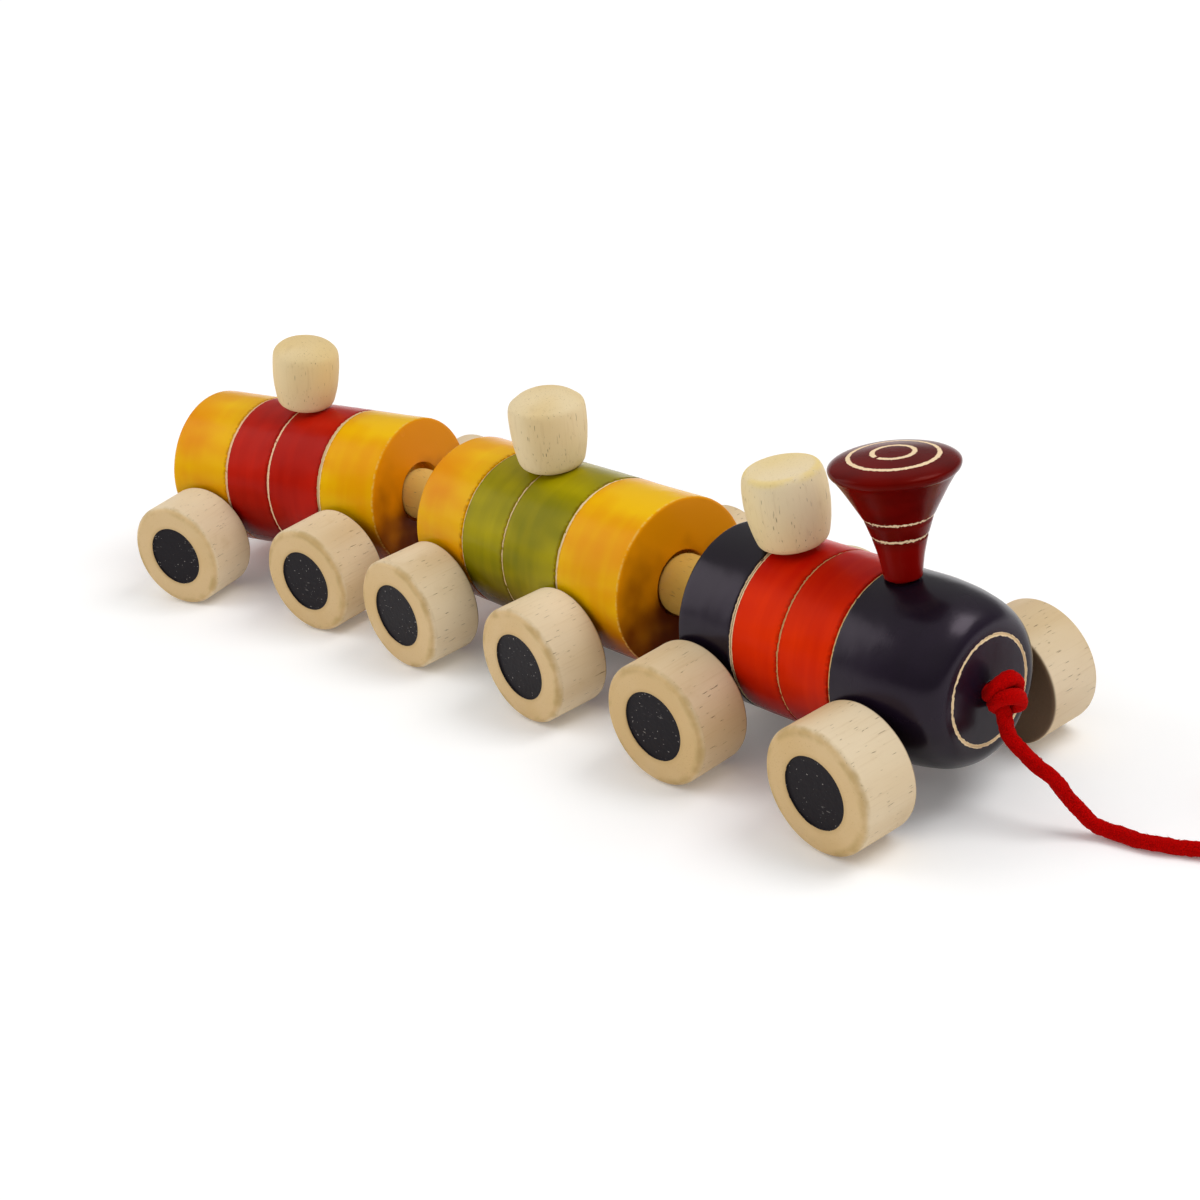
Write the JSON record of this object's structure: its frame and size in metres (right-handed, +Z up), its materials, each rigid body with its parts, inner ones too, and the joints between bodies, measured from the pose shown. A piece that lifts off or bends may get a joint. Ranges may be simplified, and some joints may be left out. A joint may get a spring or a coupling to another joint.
{
  "type": "pull along toy train",
  "caption": "Turned wooden pull-along train: an engine with funnel and two coaches, joined by dowels on a cord, rolling on thick wooden wheels",
  "frame": {"origin": "on the floor, under the middle of the train without its free cord", "axes": "+X towards the front of the engine, +Y to its left, +Z up"},
  "size_m": [0.4641, 0.1452, 0.0974],
  "materials": {
    "natural_wood": "bare turned wood, sanded",
    "engine_lacquer": "glossy lacquer on turned wood, black with an orange-red band",
    "green_lacquer": "glossy translucent lacquer on turned wood, amber yellow with an olive green band",
    "red_lacquer": "glossy translucent lacquer on turned wood, amber yellow with a red band",
    "funnel_lacquer": "glossy dark red lacquer on turned wood",
    "red_cord": "soft twisted cotton cord, slightly fuzzy"
  },
  "bodies": {
    "engine": {"engine_body": "engine_lacquer", "funnel": "funnel_lacquer", "engine_peg": "natural_wood", "cord_in_engine": "red_cord", "nose_knot": "red_cord", "pull_cord": "red_cord", "pull_cord_coil": "red_cord", "end_knot": "red_cord"},
    "engine_rear_wheelset": {"engine_rear_axle": "natural_wood", "engine_rear_right_wheel": "natural_wood", "engine_rear_left_wheel": "natural_wood"},
    "engine_front_wheelset": {"engine_front_axle": "natural_wood", "engine_front_right_wheel": "natural_wood", "engine_front_left_wheel": "natural_wood"},
    "green_coach_rear_wheelset": {"green_coach_rear_axle": "natural_wood", "green_coach_rear_right_wheel": "natural_wood", "green_coach_rear_left_wheel": "natural_wood"},
    "green_coach_front_wheelset": {"green_coach_front_axle": "natural_wood", "green_coach_front_right_wheel": "natural_wood", "green_coach_front_left_wheel": "natural_wood"},
    "red_coach_rear_wheelset": {"red_coach_rear_axle": "natural_wood", "red_coach_rear_right_wheel": "natural_wood", "red_coach_rear_left_wheel": "natural_wood"},
    "red_coach_front_wheelset": {"red_coach_front_axle": "natural_wood", "red_coach_front_right_wheel": "natural_wood", "red_coach_front_left_wheel": "natural_wood"},
    "front_coupler": {"front_coupler_dowel": "natural_wood", "cord_in_front_coupler": "red_cord"},
    "green_coach": {"green_coach_body": "green_lacquer", "green_coach_peg": "natural_wood", "cord_in_green_coach": "red_cord"},
    "rear_coupler": {"rear_coupler_dowel": "natural_wood", "cord_in_rear_coupler": "red_cord"},
    "red_coach": {"red_coach_body": "red_lacquer", "red_coach_peg": "natural_wood", "cord_in_red_coach": "red_cord", "tail_knot": "red_cord"}
  },
  "joints": [
    {"name": "engine_rear_roll", "type": "hinge", "parent": "engine", "child": "engine_rear_wheelset", "pos_m": [0.0915, 0.0084, 0.01891], "axis": [-0.0401, 0.9992, 0], "continuous": true},
    {"name": "engine_front_roll", "type": "hinge", "parent": "engine", "child": "engine_front_wheelset", "pos_m": [0.1566, 0.0084, 0.01891], "axis": [0.0366, 0.9993, 0], "continuous": true},
    {"name": "front_coupler_swing", "type": "hinge", "parent": "engine", "child": "front_coupler", "pos_m": [0.089, 0.0084, 0.035], "axis": [0, 0, 1], "range_deg": [-5, 10]},
    {"name": "green_coach_swing", "type": "hinge", "parent": "front_coupler", "child": "green_coach", "pos_m": [0.0538, 0.01003, 0.035], "axis": [0, 0, 1], "range_deg": [-10, 5]},
    {"name": "green_coach_rear_roll", "type": "hinge", "parent": "green_coach", "child": "green_coach_rear_wheelset", "pos_m": [-0.0309, 0.01062, 0.01891], "axis": [-0.014, 0.9999, 0], "continuous": true},
    {"name": "green_coach_front_roll", "type": "hinge", "parent": "green_coach", "child": "green_coach_front_wheelset", "pos_m": [0.0334, 0.01017, 0.01891], "axis": [0.0227, 0.9997, 0], "continuous": true},
    {"name": "rear_coupler_swing", "type": "hinge", "parent": "green_coach", "child": "rear_coupler", "pos_m": [-0.0374, 0.01067, 0.035], "axis": [0, 0, 1], "range_deg": [-10, 5]},
    {"name": "red_coach_swing", "type": "hinge", "parent": "rear_coupler", "child": "red_coach", "pos_m": [-0.07924, 0.01058, 0.035], "axis": [0, 0, 1], "range_deg": [-24, 1]},
    {"name": "red_coach_rear_roll", "type": "hinge", "parent": "red_coach", "child": "red_coach_rear_wheelset", "pos_m": [-0.15515, -0.00778, 0.01891], "axis": [-0.299, 0.9542, 0], "continuous": true},
    {"name": "red_coach_front_roll", "type": "hinge", "parent": "red_coach", "child": "red_coach_front_wheelset", "pos_m": [-0.08789, 0.00849, 0.01891], "axis": [-0.1599, 0.9871, 0], "continuous": true}
  ]
}
